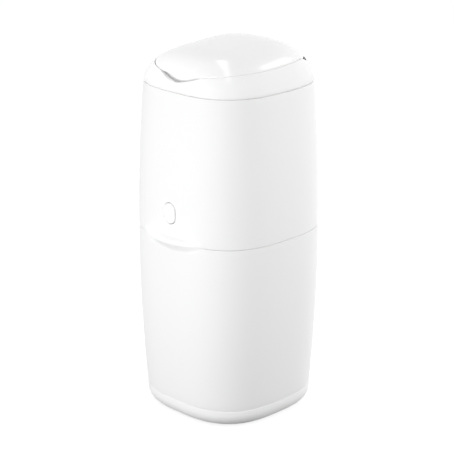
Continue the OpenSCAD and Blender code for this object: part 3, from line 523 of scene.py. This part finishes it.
top = MID_SEAM - SEAM_GAP
lower_section = rounded(
    [
        (0.0, BUCKET_FLOOR - FLOOR_T),
        (side_half(BUCKET_FLOOR) - WALL, BUCKET_FLOOR - FLOOR_T),
        (side_half(BASE_SEAM) - WALL, BASE_SEAM),
        (side_half(BASE_SEAM), BASE_SEAM, SEAM_ROUND),
        *[(side_half(z), z) for z in levels(BASE_SEAM, SCOOP_FROM, WALL_STEP)],
        *[(side_half(z), z) for z in levels(SCOOP_FROM, top - RIM_CLEAR, SCOOP_STEP)],
        (side_half(top), top, SEAM_ROUND),
        (side_half(top) - WALL, top, LOWER_RIM_ROUND),
        *[(side_half(z) - WALL, z) for z in reversed(levels(BUCKET_FLOOR, top - RIM_CLEAR, INSIDE_STEP))],
        (side_half(BUCKET_FLOOR) - WALL, BUCKET_FLOOR, BUCKET_CORNER),
        (0.0, BUCKET_FLOOR),
    ]
)
lower_shell = lathe("lower_shell_moulding", lower_section, joined=False)


def lower_rule(k, turn):
    """Where one step of the lower shell's section goes, in one direction."""
    r, z = lower_section[k]
    x, y = body_point(turn, r)
    return x, y + scoop_pull(x, y, z), z


press(lower_shell, lower_section, lower_rule)
smooth(lower_shell)
finish_piece(lower_shell, "lower", "white_shell", shell_abs, "lower_shell")

# ---------- base moulding ----------

QUARTER, BASE_TURN_STEP, MOUTH_STEP = 90, 6, 18  # degrees of a quarter round and of its steps
base_half = side_half(BASE_SEAM)
turn_h = BASE_SEAM - FOOT_STAND - BASE_BAND
curve = [
    (
        BASE_FOOT_HALF + (base_half - BASE_FOOT_HALF) * math.sin(math.radians(a)),
        FOOT_STAND + turn_h * (1 - math.cos(math.radians(a))),
    )
    for a in range(0, QUARTER + 1, BASE_TURN_STEP)
]
base_section = rounded(
    [
        (0.0, FOOT_STAND),
        *curve,
        (base_half, BASE_SEAM, SEAM_ROUND),
        (base_half - BASE_WALL, BASE_SEAM, BASE_RIM_ROUND),
        (base_half - BASE_WALL, FOOT_STAND + turn_h),
        (BASE_FOOT_HALF, FOOT_STAND + BASE_WALL, BASE_CORNER),
        (0.0, FOOT_STAND + BASE_WALL),
    ]
)
base_moulding = lathe("base_moulding", base_section, joined=False)


def base_rule(k, turn):
    """Where one step of the base moulding's section goes, in one direction."""
    r, z = base_section[k]
    x, y = body_point(turn, r)
    return x, y, z


press(base_moulding, base_section, base_rule)
smooth(base_moulding)
finish_piece(base_moulding, "lower", "white_shell", shell_abs, "base_pan")

# ---------- upper shell with its grip lip ----------


def lip_share(z):
    """Share of the grip lip's reach at one height.

    It is a full round from the lip's rim, then a small hollow that runs into the wall.
    """
    full = 1 - ((z - MID_SEAM) / LIP_RISE) ** LIP_FULL
    return 0.5 * (full + math.hypot(full, LIP_SOFT))


def lip_push(x, y, z):
    """How far the grip lip pushes the front of the upper shell outward."""
    if y > 0 or abs(x) >= LIP_ROUND:
        return 0.0
    out = LIP_REACH - LIP_ROUND + math.sqrt(LIP_ROUND**2 - x * x) + y
    if out < -LIP_FADE:
        out = 0.0
    elif out < LIP_FADE:
        out = (out + LIP_FADE) ** 2 / (4 * LIP_FADE)
    return lip_share(z) * out


low = MID_SEAM + SEAM_GAP
lip_end = low + LIP_BAND
ledge = DECK_Z - DECK_T
ledge_half = side_half(ledge) - WALL
upper_section = rounded(
    [
        (side_half(low) - WALL, low, UPPER_RIM_ROUND),
        (side_half(low), low, SEAM_ROUND),
        *[(side_half(z), z) for z in levels(low + SEAM_ROUND, lip_end, LIP_STEP)],
        *[(side_half(z), z) for z in levels(lip_end, COLLAR_SEAM - RIM_CLEAR, UPPER_STEP)],
        (side_half(COLLAR_SEAM), COLLAR_SEAM - SEAM_GAP, SEAM_ROUND),
        (side_half(COLLAR_SEAM) - WALL, COLLAR_SEAM - SEAM_GAP, UPPER_TOP_ROUND),
        (ledge_half, ledge),
        (ledge_half - LEDGE_IN, ledge),
        (ledge_half - LEDGE_IN, ledge - LEDGE_T),
        (ledge_half, ledge - LEDGE_SLOPE_END),
        *[
            (side_half(z) - WALL, z)
            for z in reversed(levels(low, ledge - LEDGE_SLOPE_END, UPPER_INSIDE_STEP))
        ],
    ]
)
upper_shell = lathe("upper_shell_moulding", upper_section, joined=True)


def upper_rule(k, turn):
    """Where one step of the upper shell's section goes, in one direction."""
    r, z = upper_section[k]
    x, y = body_point(turn, r)
    outer = r > side_half(z) - OUTER_SKIN
    return x, y - (lip_push(x, y, z) if outer else 0.0), z


press(upper_shell, upper_section, upper_rule)


def oval_blank(width, height):
    """A flat oval standing in the XZ plane: a circle drawn out upwards and downwards."""
    clear()
    bpy.ops.mesh.primitive_circle_add(
        vertices=OVAL_STEPS, radius=width / 2 * MM, fill_type="NGON", enter_editmode=True
    )
    bpy.ops.transform.rotate(value=math.pi / 2, orient_axis="X", center_override=(0, 0, 0))
    stretch = (height - width) / 2 * MM
    pick(lambda v: v.z > TINY)
    bpy.ops.transform.translate(value=(0, 0, stretch))
    pick(lambda v: v.z < -TINY)
    bpy.ops.transform.translate(value=(0, 0, -stretch))


def oval_rings(name, rings, width, height):
    """An oval drawn along Y through rings of (how far it shrinks or grows, y)."""
    oval_blank(width, height)
    bpy.ops.mesh.select_all(action="SELECT")
    was_grow, was_y = 0.0, 0.0
    half_w, half_h = width / 2, height / 2
    for i, (grow, y) in enumerate(rings):
        if i:
            bpy.ops.mesh.extrude_region_move(TRANSFORM_OT_translate={"value": (0, 0, 0)})
        wider = (half_w + grow) / (half_w + was_grow)
        taller = (half_h + grow) / (half_h + was_grow)
        bpy.ops.transform.resize(value=(wider, 1, taller), center_override=(0, was_y * MM, 0))
        bpy.ops.transform.translate(value=(0, (y - was_y) * MM, 0))
        was_grow, was_y = grow, y
    bpy.ops.mesh.select_all(action="SELECT")
    bpy.ops.mesh.normals_make_consistent(inside=False)
    bpy.ops.transform.translate(value=(0, 0, BUTTON_Z * MM))
    return named(name)


front_y = -side_half(BUTTON_Z)
mouth = [(MOUTH_FLARE, front_y - MOUTH_OUT)]
for degrees in range(0, QUARTER + 1, MOUTH_STEP):
    a = math.radians(degrees)
    wider = MOUTH_ROUND * (1 - math.sin(a))
    deeper = MOUTH_ROUND * (1 - math.cos(a))
    mouth.append((BUTTON_GAP + wider, front_y - MOUTH_STAND + deeper))
mouth.append((BUTTON_GAP, front_y + WALL + MOUTH_IN))
cut(upper_shell, oval_rings("button_hole_tool", mouth, BUTTON_W, BUTTON_H))
smooth(upper_shell)
finish_piece(upper_shell, "upper", "white_shell", shell_abs, "upper_shell")

# ---------- release button ----------

face_y = front_y - BUTTON_PROUD
back_y = face_y + BUTTON_T
pillow = [(-BUTTON_W / 2 * share, face_y + deep) for share, deep in PILLOW]
pillow += [(0.0, back_y), (-SPRING_RIM, back_y), (-SPRING_RIM, back_y - SPRING_ROOM)]
button = oval_rings("release_button_cap", pillow, BUTTON_W, BUTTON_H)
smooth(button)
finish_piece(button, "button", "white_gloss", gloss_abs, "release_button")

# the stem behind the cap runs through the housing's plate, with a stop ring on it, to the hook
plate_back = back_y + PLATE_AWAY
stem_end = back_y + STEM_RUN
stem_rings = [
    (0.0, back_y - SPRING_ROOM - STEM_LAP),
    (0.0, plate_back),
    (STOP_OUT, plate_back),
    (STOP_OUT, plate_back + STOP_T),
    (0.0, plate_back + STOP_T),
    (0.0, stem_end - STEM_NOSE),
    (-STEM_NOSE_IN, stem_end - STEM_NOSE),
    (-STEM_NOSE_IN, stem_end),
]
stem = oval_rings("release_button_stem", stem_rings, STEM_W, STEM_W)
smooth(stem)
finish_piece(stem, "button", "white_gloss", gloss_abs)

# ---------- screw bosses inside the two shells ----------


def bosses(name, places):
    """Round bosses along Y, each given by its x, its height and its two ends, as one piece."""
    clear()
    bpy.ops.object.add(type="MESH", location=(0, 0, 0))
    bpy.ops.object.mode_set(mode="EDIT")
    for x, z, (start, end) in places:
        bpy.ops.mesh.primitive_cylinder_add(
            vertices=BOSS_STEPS,
            radius=BOSS_R * MM,
            depth=(end - start) * MM,
            location=(x * MM, (start + end) / 2 * MM, z * MM),
            rotation=(math.pi / 2, 0, 0),
        )
    bpy.ops.mesh.select_all(action="SELECT")
    bpy.ops.mesh.normals_make_consistent(inside=False)
    piece = named(name)
    smooth(piece)
    return piece


hinge_low = [(s * HINGE_SCREW_X, MID_SEAM - up, BOSS_Y) for s in SIDES for up in HINGE_SCREW_UP]
hinge_high = [(s * HINGE_SCREW_X, MID_SEAM + up, BOSS_Y) for s in SIDES for up in HINGE_SCREW_UP]
plate_y = (front_y + WALL / 2, front_y + PLATE_Y)
plate = [(s * PLATE_SCREW_X, BUTTON_Z + t * PLATE_SCREW_UP, plate_y) for s in SIDES for t in SIDES]
finish_piece(bosses("lower_shell_bosses", hinge_low), "lower", "white_shell", shell_abs)
finish_piece(bosses("upper_shell_bosses", hinge_high + plate), "upper", "white_shell", shell_abs)

# ---------- collar ----------


def collar_skin(share, inset, turn):
    """A point of the collar between its lower edge, at share 0, and its opening, at share 1."""
    a = body_point(turn, COLLAR_HALF - inset)
    b = opening_point(turn, inset)
    x, y = mix(a[0], b[0], share), mix(a[1], b[1], share)
    return Vector((x, y, dome_z(x, y, inset)))


HALVINGS = 40  # steps of the search for the notch's edge


def notch_start(turn):
    """The share at which the collar's skin meets the finger notch, or 1 where there is none."""

    def above(share):
        p = collar_skin(share, 0.0, turn)
        return p.y < 0 and p.z > notch_floor(p.x)

    if not above(1.0):
        return 1.0
    low_share, high_share = 0.0, 1.0
    for _ in range(HALVINGS):
        middle = (low_share + high_share) / 2
        if above(middle):
            high_share = middle
        else:
            low_share = middle
    return high_share


def ledge_point(share, turn):
    """A point of the finger notch's floor, which dishes down from the notch's edge towards the lid."""
    p, edge = collar_skin(share, 0.0, turn), collar_skin(notch_start(turn), 0.0, turn)
    run = math.hypot(p.x - edge.x, p.y - edge.y)
    return Vector((p.x, p.y, notch_floor(p.x) - run * run / (2 * NOTCH_DISH)))


def steps_of(what, places):
    """Steps of one kind, at each of the places along it."""
    return [(what, place) for place in places]


# each step of the collar's section: what it is, and how far along or how high
COLLAR_SKIN = (0.03, 0.06, 0.1, 0.15, 0.2, 0.26, 0.33, 0.4, 0.48, 0.56, 0.64, 0.72, 0.8, 0.87, 0.93, 0.97)
collar_steps = [
    *steps_of("foot", (0.0, 0.5, 1.0)),
    *steps_of("skin", COLLAR_SKIN),
    *steps_of("edge", (0.0, 0.25, 0.5, 0.75, 1.0)),
    *steps_of("ledge", (0.15, 0.3, 0.45, 0.6, 0.75, 0.88, 1.0)),
    *steps_of("pocket", (0.0, 1.0)),
    *steps_of("wall", (0.85, 0.6, 0.3, 0.0)),
    *steps_of("wall_in", (0.0, 0.5)),
    *steps_of("skin_in", (1.0, 0.9, 0.75, 0.6, 0.45, 0.3, 0.15)),
    *steps_of("tongue_in", (COLLAR_SEAM, DECK_Z)),
    *steps_of("tongue", (DECK_Z, COLLAR_SEAM)),
]


def collar_rule(k, turn):
    """Where one step of the collar's section goes, in one direction."""
    what, t = collar_steps[k]
    if what == "foot":
        rim_z = COLLAR_SEAM + SEAM_GAP
        under = Vector((*body_point(turn, COLLAR_HALF - SEAM_ROUND), rim_z))
        rim = Vector((*body_point(turn, COLLAR_HALF), rim_z))
        return rolled(under, rim, collar_skin(SKIN_START, 0.0, turn), t)
    start = notch_start(turn)
    a, b = body_point(turn, COLLAR_HALF), opening_point(turn)
    across = math.hypot(a[0] - b[0], a[1] - b[1])
    notched = start < 1.0
    roll = (NOTCH_EDGE if notched else EDGE) / across
    if what == "skin":
        return collar_skin(mix(SKIN_START, start - roll, t), 0.0, turn)
    corner = ledge_point(start, turn) if notched else collar_skin(1.0, 0.0, turn)
    spare = max(0.0, 1 - start - 2 * roll)
    if what in ("edge", "ledge"):
        before = collar_skin(start - roll, 0.0, turn)
        after = ledge_point(min(1.0, start + roll), turn) if notched else corner - Vector((0, 0, EDGE))
        if what == "edge":
            return rolled(before, corner, after, t)
        if notched:
            return ledge_point(min(1.0, start + roll + spare * t), turn)
        return after - Vector((0, 0, LEDGE_DROP * t))
    top_z = ledge_point(1.0, turn).z - NOTCH_INSIDE if notched else corner.z - EDGE - EDGE_INSIDE
    if what == "pocket":
        return b[0], b[1], top_z - POCKET_DEEP * t
    if what == "wall":
        x, y = opening_point(turn, relieved=False)
        return x, y, mix(DECK_Z, top_z - POCKET_DEEP, t)
    if what == "wall_in":
        x, y = opening_point(turn, LID_WALL)
        roof = min(dome_z(x, y), notch_floor(x) if y < 0 else FAR_UP)
        return x, y, mix(DECK_Z, roof - 2 * LID_WALL, t)
    if what == "skin_in":
        p = collar_skin(t, LID_WALL, turn)
        floor_z = notch_floor(p.x) - LID_WALL if p.y < 0 else FAR_UP
        return p.x, p.y, max(COLLAR_SEAM + TONGUE_LAP, min(p.z, floor_z))
    x, y = body_point(turn, COLLAR_HALF - TONGUE - (TONGUE_T if what == "tongue_in" else 0))
    return x, y, t


DRUM_OUT, DRUM_Z, DRUM_R = 80.0, 540.0, 20.0


def drum(steps):
    """A rough round section with a place for each step, to spin before it is pressed to shape."""
    turns = [2 * math.pi * i / len(steps) for i in range(len(steps))]
    return [(DRUM_OUT + DRUM_R * math.cos(a), DRUM_Z + DRUM_R * math.sin(a)) for a in turns]


collar_blank = drum(collar_steps)
collar = lathe("collar_moulding", collar_blank, joined=True)
press(collar, collar_blank, collar_rule)
smooth(collar)
finish_piece(collar, "upper", "white_gloss", gloss_abs, "collar")

# ---------- lid ----------

LID_SKIN = (0.0, 0.04, 0.08, 0.13, 0.18, 0.24, 0.3, 0.36, 0.42, 0.48, 0.54, 0.6, 0.66, 0.72)
LID_SKIN += (0.77, 0.82, 0.86, 0.9, 0.93, 0.96)  # closer together towards the edge
lid_steps = [
    *steps_of("skin", LID_SKIN),
    *steps_of("edge", (0.0, 0.2, 0.4, 0.6, 0.8, 1.0)),
    *steps_of("skirt", (1.0, 0.66, 0.33, 0.04, 0.0)),
    *steps_of("skirt_in", (0.0, 0.5)),
    *steps_of("skin_in", (1.0, 0.9, 0.75, 0.6, 0.45, 0.3, 0.15, 0.0)),
]


def skirt_low(x, y):
    """Height of the skirt's lower edge, which drops in front and rises behind for the lid to turn."""
    front = min(1.0, max(0.0, (-LID_HALF_Y / 2 - y) / SKIRT_DROP_RUN))
    rear = min(1.0, max(0.0, (y - SKIRT_TURN) / (PIVOT_Y - SKIRT_TURN)))
    return mix(SKIRT_Z - SKIRT_DROP * front, max(SKIRT_Z, dome_z(x, y) - SKIRT_BACK_H), rear)


def lid_rule(k, turn):
    """Where one step of the lid's section goes, in one direction."""
    what, t = lid_steps[k]
    p = lid_point(turn)
    if what == "skin":
        x, y = p[0] * t, mix(LID_BACK, p[1], t)
        return x, y, dome_z(x, y)
    corner = Vector((p[0], p[1], dome_z(*p)))
    if what == "edge":
        share = 1 - LID_EDGE / math.hypot(p[0], p[1] - LID_BACK)
        x, y = p[0] * share, mix(LID_BACK, p[1], share)
        inner, down = Vector((x, y, dome_z(x, y))), corner - Vector((0, 0, LID_EDGE))
        return rolled(inner, corner, down, t)
    if what == "skirt":
        return *tuck(*p), mix(skirt_low(*p), corner.z - LID_EDGE - SKIRT_TOP_GAP, t)
    q = tuck(*lid_point(turn, -LID_WALL))
    if what == "skirt_in":
        return q[0], q[1], mix(skirt_low(*p), corner.z - LID_WALL - LID_EDGE, t)
    x, y = q[0] * t, mix(LID_BACK, q[1], t)
    return x, y, dome_z(x, y, LID_WALL)


# the lid's blank: how each kind of step runs in a rough round section, as (r, z) from t = 0 to t = 1
LID_BLANK = {
    "skin": lambda t: (100 * t, 580 - 10 * t * t),
    "edge": lambda t: (100 + 2 * t, 569 - 4 * t),
    "skirt": lambda t: (102, 540 + 22 * t),
    "skirt_in": lambda t: (97, 540 + 20 * t),
    "skin_in": lambda t: (95 * t, 565 - 2 * t),
}
lid_blank = [LID_BLANK[what](t) for what, t in lid_steps]
lid = lathe("lid_moulding", lid_blank, joined=False)
press(lid, lid_blank, lid_rule)
smooth(lid)
finish_piece(lid, "lid", "white_gloss", gloss_abs, "lid_cover")

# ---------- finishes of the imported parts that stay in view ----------

STAYS = {
    "rim_frame": inner_pp,
    "rim_seal": seal_rubber,
    "latch_keeper": spring_drawn,
    "rubber_feet": foot_rubber,
    "base_screws": screw_zinc,
    "hinge_lower_leaf": shell_abs,
    "hinge_upper_leaf": shell_abs,
    "hinge_lower_screws": screw_zinc,
    "hinge_upper_screws": screw_zinc,
    "hinge_pin": pin_ground,
    "collar_screws": screw_zinc,
    "cassette_cradle": inner_pp,
    "cassette_tub": cassette_pp,
    "film_pack": film,
    "cassette_cover": cassette_pp,
    "jaw_housing": inner_pp,
    "housing_screws": screw_zinc,
    "jaw_pins": pin_ground,
    "jaw_springs": spring_drawn,
    "film_cutter": cassette_pp,
    "cutter_blade": blade_honed,
    "cutter_screws": screw_zinc,
    "button_housing": inner_pp,
    "button_housing_screws": screw_zinc,
    "latch_pin": pin_ground,
    "button_spring": spring_drawn,
    "lid_pivot_pins": pin_ground,
    "latch_hook": inner_pp,
    "lid_liner": inner_pp,
    "lid_seal": seal_rubber,
    "lid_screws": screw_zinc,
    "front_jaw": inner_pp,
    "rear_jaw": inner_pp,
    "front_jaw_lip": seal_rubber,
    "rear_jaw_lip": seal_rubber,
}
for name, material in STAYS.items():
    part = nodes[name]
    part.data.materials.clear()
    part.data.materials.append(material)

# ---------- floor, backdrop and light ----------

WHITE = (1, 1, 1, 1)
ROOM_LIGHT = 0.515  # strength of the even light from the room
FLOOR_R, FLOOR_Z = 6.0, -0.0002  # metres; just under the feet
FLOOR_DARK, FLOOR_LIT, FLOOR_GLOW = "#3c3c3c", "#a8a8a8", 0.78  # as it lights the bin, and as it is seen


def white_to_camera(tree, surface, white):
    """Show a surface as it is to light that bounces.

    The camera sees plain white in its place, as do gloss and glass.
    """
    ray = add(tree, "ShaderNodeLightPath").outputs
    either = {0: ray["Is Camera Ray"], 1: ray["Is Glossy Ray"]}
    direct = add(tree, "ShaderNodeMath", either, operation="ADD")
    either = {0: direct.outputs[0], 1: ray["Is Transmission Ray"]}
    seen = add(tree, "ShaderNodeMath", either, operation="ADD", use_clamp=True)
    return add(tree, "ShaderNodeMixShader", {0: seen.outputs[0], 1: surface, 2: white})


world = bpy.data.worlds.new("studio")
bpy.context.scene.world = world
world.use_nodes = True
sky = world.node_tree
sky.nodes.clear()
soft_light = add(sky, "ShaderNodeBackground", {"Color": WHITE, "Strength": ROOM_LIGHT})
white_back = add(sky, "ShaderNodeBackground", {"Color": WHITE, "Strength": 1.0})
shown = white_to_camera(sky, soft_light.outputs[0], white_back.outputs[0])
add(sky, "ShaderNodeOutputWorld", {"Surface": shown.outputs[0]})

clear()
bpy.ops.mesh.primitive_circle_add(
    vertices=FLOOR_STEPS, radius=FLOOR_R, fill_type="NGON", location=(0, 0, FLOOR_Z)
)
floor = bpy.context.object
floor.name = "floor"
floor_paint = bpy.data.materials.new("floor_matt_paint")
floor_paint.use_nodes = True
tree = floor_paint.node_tree
tree.nodes.clear()
plain = add(tree, "ShaderNodeBsdfDiffuse", {"Color": hex_colour(FLOOR_DARK)})
lit = add(tree, "ShaderNodeBsdfDiffuse", {"Color": hex_colour(FLOOR_LIT)})
glow = add(tree, "ShaderNodeEmission", {"Color": WHITE, "Strength": FLOOR_GLOW})
both = add(tree, "ShaderNodeAddShader", {0: lit.outputs[0], 1: glow.outputs[0]})
shown = white_to_camera(tree, plain.outputs[0], both.outputs[0])
add(tree, "ShaderNodeOutputMaterial", {"Surface": shown.outputs[0]})
floor.data.materials.append(floor_paint)


def softbox(name, place, aim, size, watts, round_box=False, shines=False):
    """An area lamp; only the two that make the bright marks on the gloss are seen in it."""
    lamp = bpy.data.lights.new(name, "AREA")
    lamp.shape = "ELLIPSE" if round_box else "RECTANGLE"
    lamp.size, lamp.size_y = size
    lamp.energy = watts
    holder = bpy.data.objects.new(name, lamp)
    bpy.context.scene.collection.objects.link(holder)
    holder.location = place
    holder.rotation_euler = (Vector(aim) - Vector(place)).to_track_quat("-Z", "Y").to_euler()
    holder.visible_glossy = shines
    return holder


STRIP_TURN = 140  # degrees

# places and sizes in metres
softbox("front_low_softbox", place=(0.1, -1.5, 0.34), aim=(0, 0, 0.34), size=(1.3, 0.34), watts=15.4)
softbox("front_high_softbox", place=(0, -1.5, 1.8), aim=(0, 0, 0.35), size=(1.2, 0.8), watts=5)
softbox("side_softbox", place=(1.45, 1.25, 0.52), aim=(0, 0, 0.3), size=(2.2, 1.0), watts=28)
softbox("left_top_softbox", place=(-1.2, 0.35, 1.9), aim=(0, 0, 0.5), size=(1.0, 1.0), watts=7.5)
overhead = softbox(
    "overhead_strip_softbox",
    place=(-0.5, 0.42, 2.6),
    aim=(-0.5, 0.42, 0.5),
    size=(3.2, 0.27),
    watts=6.5,
    shines=True,
)
overhead.rotation_euler = (0, 0, math.radians(STRIP_TURN))  # its reflection runs along the lid's front edge
softbox(
    "round_softbox",
    place=(0.08, 1.36, 1.95),
    aim=(0.09, 0, 0.56),
    size=(0.5, 0.5),
    watts=1.8,
    round_box=True,
    shines=True,
)

bpy.context.scene.view_settings.view_transform = "Standard"
